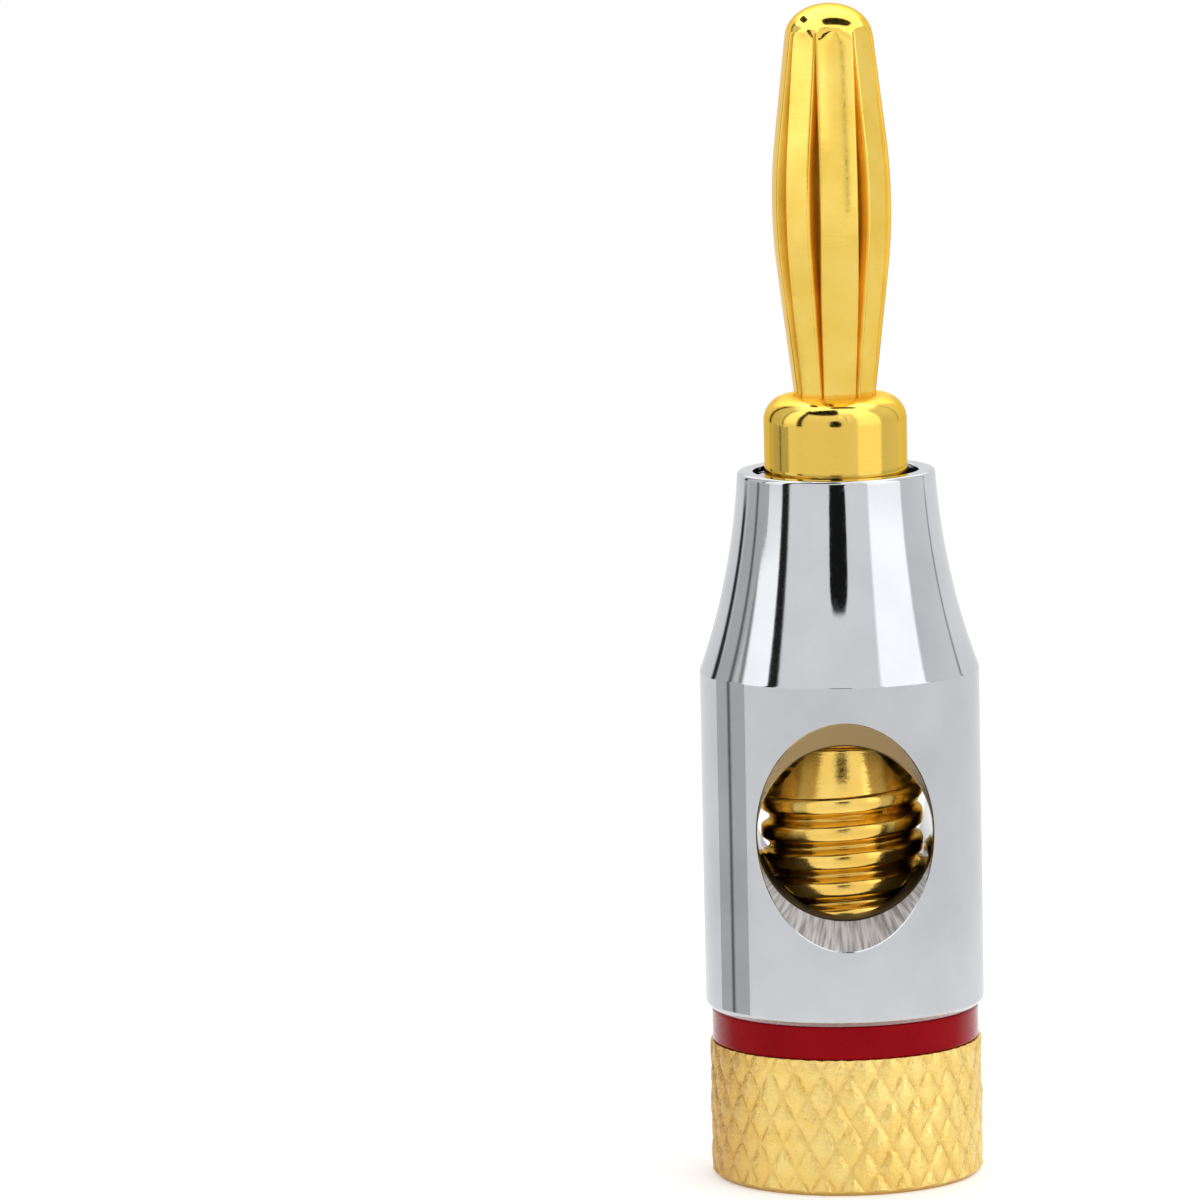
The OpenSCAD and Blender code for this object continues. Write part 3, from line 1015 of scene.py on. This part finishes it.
def make_floor():
    """Pale floor that keeps the plug's shadow and glows a little to the camera and the metal."""
    bpy.ops.object.select_all(action="DESELECT")
    bpy.ops.mesh.primitive_circle_add(vertices=128, radius=FLOOR_R * MM, fill_type="NGON")
    floor = bpy.context.object
    floor.name = "studio_floor"
    material = bpy.data.materials.new("pale_floor")
    material.use_nodes = True
    tree = material.node_tree
    surface = tree.nodes["Principled BSDF"]
    surface.inputs["Base Color"].default_value = even_grey(FLOOR_TINT)
    surface.inputs["Roughness"].default_value = 0.9
    surface.inputs["Emission Color"].default_value = even_grey(1)
    seen = add_node(tree, "ShaderNodeLightPath")
    straight = calc(tree, "MAXIMUM", seen.outputs["Is Camera Ray"], seen.outputs["Is Transmission Ray"])
    shown = calc(tree, "MULTIPLY", straight, FLOOR_SHOWN)
    radius = place_parts(tree)[3]
    near_plug = spread(tree, radius, 12, 60, FLOOR_MIRRORED_NEAR, FLOOR_MIRRORED_FAR)
    mirrored = calc(tree, "MULTIPLY", seen.outputs["Is Glossy Ray"], near_plug)
    feed(tree, surface.inputs["Emission Strength"], calc(tree, "ADD", shown, mirrored))
    floor.data.materials.append(material)
    floor.select_set(False)


# Brightness of the studio walls by bearing in degrees, from the camera's side round to the right
WALLS = (
    (-180, 0.83), (-136, 0.87), (-134, 0.68), (-104, 0.73), (-93, 0.80), (-91, 1.45), (-67, 1.50),
    (-65, 0.98), (34, 0.98), (36, 1.60), (76, 1.60), (78, 0.80), (118, 0.88), (122, 0.94), (180, 0.83),
)
# Share of light in the dark gaps between the walls, by bearing in degrees
GAPS = (
    (-180, 1.0), (-134, 1.0), (-133, 0.05), (-127, 0.05), (-126, 1.0), (-98, 1.0), (-96, 0.4),
    (-94, 0.4), (-92, 1.0), (-67, 1.0), (-66, 0.02), (-58, 0.02), (-56, 1.0), (118, 1.0),
    (119, 0.45), (121, 0.45), (122, 1.0), (180, 1.0),
)


def ring_of_levels(tree, share, steps):
    """Brightness all round the studio, given by bearing."""
    made = add_node(tree, "ShaderNodeValToRGB")
    tree.links.new(share, made.inputs["Fac"])
    ramp = made.color_ramp
    while len(ramp.elements) < len(steps):
        ramp.elements.new(0.5)
    for element, (angle, level) in zip(ramp.elements, steps):
        element.position = (angle + 180) / 360
    for element, (angle, level) in zip(ramp.elements, steps):
        element.color = even_grey(level)
    return made.outputs["Color"]


def dark_patch(tree, across, up, middle, reach):
    """Mask of a dark oval in two coordinates."""
    first = calc(tree, "DIVIDE", calc(tree, "SUBTRACT", across, middle[0]), reach[0])
    second = calc(tree, "DIVIDE", calc(tree, "SUBTRACT", up, middle[1]), reach[1])
    square = calc(tree, "ADD", calc(tree, "POWER", calc(tree, "ABSOLUTE", first), 4.0),
                  calc(tree, "POWER", calc(tree, "ABSOLUTE", second), 4.0))
    return spread(tree, square, 0.8, 1.2, 1, 0)


def start_card(name):
    """A card of one square millimetre lying on the origin, open in edit mode."""
    bpy.ops.object.select_all(action="DESELECT")
    bpy.ops.mesh.primitive_plane_add(size=1)
    card = bpy.context.object
    card.name = name
    material = bpy.data.materials.new(name)
    material.use_nodes = True
    card.data.materials.append(material)
    edit(card)
    return card, material.node_tree


def stand_card(width, low, high, away, bearing):
    """Stand the open card up at a distance from the plug."""
    bpy.ops.transform.rotate(value=math.pi / 2, orient_axis="X", center_override=(0, 0, 0))
    bpy.ops.transform.resize(value=(width, 1, high - low), center_override=(0, 0, 0))
    bpy.ops.transform.translate(value=(0, -away, (low + high) / 2))
    turn_selected(bearing)


def place_along(tree, bearing):
    """Distance along a standing card from its middle, and height."""
    x, y, z = place_parts(tree)[:3]
    along = calc(tree, "ADD", calc(tree, "MULTIPLY", x, math.cos(bearing)),
                 calc(tree, "MULTIPLY", y, math.sin(bearing)))
    return along, z


def finish_card(card, tree, level):
    """Bring the card to metres and light it so that only the metal sees it."""
    bpy.ops.transform.resize(value=(MM, MM, MM), center_override=(0, 0, 0))
    leave()
    surface = tree.nodes["Principled BSDF"]
    surface.inputs["Base Color"].default_value = even_grey(0)
    surface.inputs["Roughness"].default_value = 1.0
    grey = add_node(tree, "ShaderNodeCombineColor")
    for socket in grey.inputs:
        tree.links.new(level, socket)
    tree.links.new(grey.outputs["Color"], surface.inputs["Emission Color"])
    surface.inputs["Emission Strength"].default_value = 1.0
    card.visible_camera = False
    card.visible_diffuse = False
    card.visible_shadow = False
    card.visible_transmission = False
    card.select_set(False)


def make_side_card():
    """Grey card beside the barrel, with a dark fold."""
    card, tree = start_card("side_card")
    stand_card(width=16, low=0, high=25, away=25, bearing=SIDE_CARD_BEARING)
    along = place_along(tree, SIDE_CARD_BEARING)[0]
    finish_card(card, tree, spread(tree, calc(tree, "ABSOLUTE", along), 0.2, 1.4, 0.13, 0.56))


def make_pin_card():
    """Pale card in front of the pin, brighter high on the left and past its dark crease."""
    card, tree = start_card("pin_card")
    stand_card(width=7, low=32.5, high=46, away=22, bearing=PIN_CARD_BEARING)
    along, z = place_along(tree, PIN_CARD_BEARING)
    upper = spread(tree, z, 39.0, 40.8, 0, 1)
    left = calc(tree, "MULTIPLY", spread(tree, along, -1.5, -0.9, 0.36, 0), upper)
    right = spread(tree, along, 1.0, 1.3, PIN_CARD_LEVEL, 1.12)
    beside = calc(tree, "ABSOLUTE", calc(tree, "SUBTRACT", along, PIN_CARD_CREASE))
    crease = spread(tree, beside, 0.08, 0.26, 0.06, 1)
    finish_card(card, tree, calc(tree, "MULTIPLY", calc(tree, "ADD", left, right), crease))


def make_top_card():
    """Bright card over the nose of the pin, with two dark ovals."""
    card, tree = start_card("top_card")
    bpy.ops.transform.resize(value=TOP_CARD_SIZE, center_override=(0, 0, 0))
    bpy.ops.transform.translate(value=TOP_CARD_PLACE)
    x, y = place_parts(tree)[:2]
    slanted = calc(tree, "MULTIPLY_ADD", x, TOP_CARD_SLANT, y)
    front = dark_patch(tree, x, slanted, middle=(3.0, -3.45), reach=(4.9, 2.15))
    left = dark_patch(tree, x, y, middle=(-6.8, 3.3), reach=(1.5, 3.0))
    open_part = calc(tree, "SUBTRACT", 1.0, calc(tree, "MAXIMUM", front, left))
    level = spread(tree, y, -1, 4, CEILING_LEVEL, 2.4)
    finish_card(card, tree, calc(tree, "MULTIPLY", open_part, level))


def make_world():
    """White studio with dark gaps between its soft boxes."""
    world = bpy.data.worlds.new("studio")
    bpy.context.scene.world = world
    world.use_nodes = True
    tree = world.node_tree
    tree.nodes.clear()
    coordinates = add_node(tree, "ShaderNodeTexCoord")
    split = add_node(tree, "ShaderNodeSeparateXYZ")
    tree.links.new(coordinates.outputs["Generated"], split.inputs[0])
    x, y, z = split.outputs[0], split.outputs[1], split.outputs[2]
    bearing = calc(tree, "ARCTAN2", x, calc(tree, "MULTIPLY", y, -1.0))
    degrees = calc(tree, "MULTIPLY", bearing, 180 / math.pi)
    share = spread(tree, degrees, -180, 180, 0, 1)
    rise = calc(tree, "MULTIPLY", calc(tree, "ARCSINE", z), 180 / math.pi)
    walls = ring_of_levels(tree, share, WALLS)
    gaps = ring_of_levels(tree, share, GAPS)
    # The bright boxes are less bright towards the floor, most of all on the left
    up = spread(tree, rise, -8, 12, 0, 1)
    lowest = spread(tree, degrees, -20, 20, 1.0, 1.3)
    limit = calc(tree, "MULTIPLY_ADD", calc(tree, "MULTIPLY", up, up), 0.7, lowest)
    lit = add_node(tree, "ShaderNodeMix", data_type="RGBA", blend_type="DARKEN")
    lit.inputs["Factor"].default_value = 1
    tree.links.new(walls, lit.inputs[6])
    tree.links.new(limit, lit.inputs[7])
    above_floor = spread(tree, rise, -5, -2, 0, 1)
    open_gaps = blend_colours(tree, above_floor, even_grey(1), gaps)
    walled = add_node(tree, "ShaderNodeMix", data_type="RGBA", blend_type="MULTIPLY")
    walled.inputs["Factor"].default_value = 1
    tree.links.new(lit.outputs[2], walled.inputs[6])
    tree.links.new(open_gaps, walled.inputs[7])
    # Dark gap in front, and one more under the edge of the ceiling
    front = dark_patch(tree, degrees, rise, middle=(-0.8, 8.4), reach=(9.5, 11.4))
    upper = dark_patch(tree, degrees, rise, middle=(-33.0, 63.5), reach=(40.0, 18.0))
    dark = calc(tree, "MAXIMUM", front, upper)
    # The walls fade into the floor below, and into a white ceiling above
    standing = spread(tree, rise, -13, -9, 0, 1)
    grounded = blend_colours(tree, standing, even_grey(WALL_BASE_LEVEL), walled.outputs[2])
    behind = spread(tree, calc(tree, "ABSOLUTE", degrees), 125, 150, 0, 30, smooth=True)
    lifted = calc(tree, "ADD", rise, behind)
    overhead = spread(tree, lifted, 45, 60, 0, 1, smooth=True)
    bright = blend_colours(tree, overhead, grounded, even_grey(CEILING_LEVEL))
    studio = blend_colours(tree, dark, bright, even_grey(DARK_LEVEL))
    seen = add_node(tree, "ShaderNodeLightPath")
    shown = blend_colours(tree, seen.outputs["Is Camera Ray"], studio, even_grey(1))
    background = add_node(tree, "ShaderNodeBackground")
    tree.links.new(shown, background.inputs["Color"])
    background.inputs["Strength"].default_value = 1.0
    leaving = add_node(tree, "ShaderNodeOutputWorld")
    tree.links.new(background.outputs["Background"], leaving.inputs["Surface"])


make_camera()
make_floor()
make_side_card()
make_pin_card()
make_top_card()
make_world()
bpy.context.scene.view_settings.view_transform = "Standard"

plating_marks = make_plating_marks()
chrome = make_chrome()
polished_gold = make_polished_gold()
turned_gold = make_turned_gold()
shaded_gold = make_shaded_gold()
satin_gold = make_satin_gold()
red_plastic = make_red_plastic()

finish_piece(model_knurled_head(), "clamp_screw", "clamp_screw", satin_gold)
finish_piece(model_threaded_stem(), "clamp_screw", "clamp_screw", turned_gold)
finish_piece(model_colour_ring(), "colour_ring", "colour_ring", red_plastic)
finish_piece(model_barrel(), "barrel", "barrel", chrome)
finish_piece(model_contact_body(), "barrel", "contact_body", polished_gold)
finish_piece(model_spring_cage(), "barrel", "spring_cage", polished_gold)
